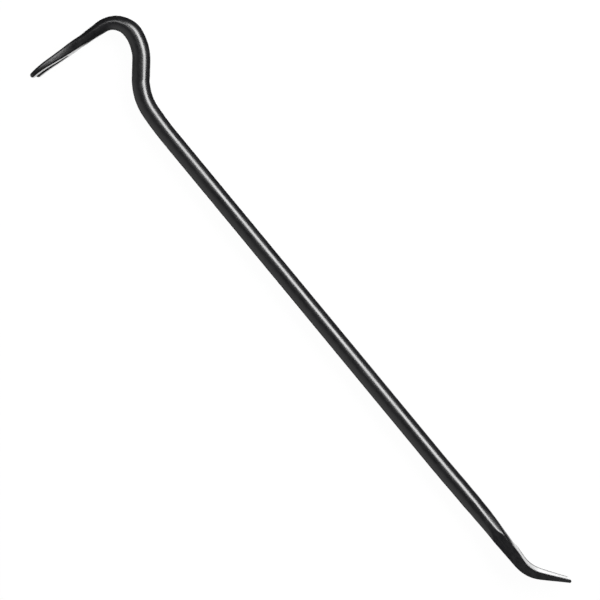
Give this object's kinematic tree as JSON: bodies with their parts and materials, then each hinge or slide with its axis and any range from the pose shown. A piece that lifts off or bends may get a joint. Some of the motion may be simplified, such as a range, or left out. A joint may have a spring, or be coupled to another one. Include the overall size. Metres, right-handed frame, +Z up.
{
  "type": "gooseneck wrecking bar",
  "caption": "Gooseneck wrecking bar forged in one piece from round steel, with a slotted nail-pulling claw at its hook and an offset chisel blade, in black enamel.",
  "frame": {"origin": "bottom centre of the bar's box as it lies on its side, level with the claw's lower edge", "axes": "+X along the shaft from the hook towards the blade, +Y in the plane of the bends towards the hook's crown, away from the claw's tip, +Z up, across the claw and the blade"},
  "size_m": [0.7726, 0.1214, 0.034],
  "materials": {
    "black_enamel": "smooth semi-gloss black stoving enamel over forged steel"
  },
  "bodies": {
    "root": {"forged_bar": "black_enamel"}
  },
  "joints": []
}
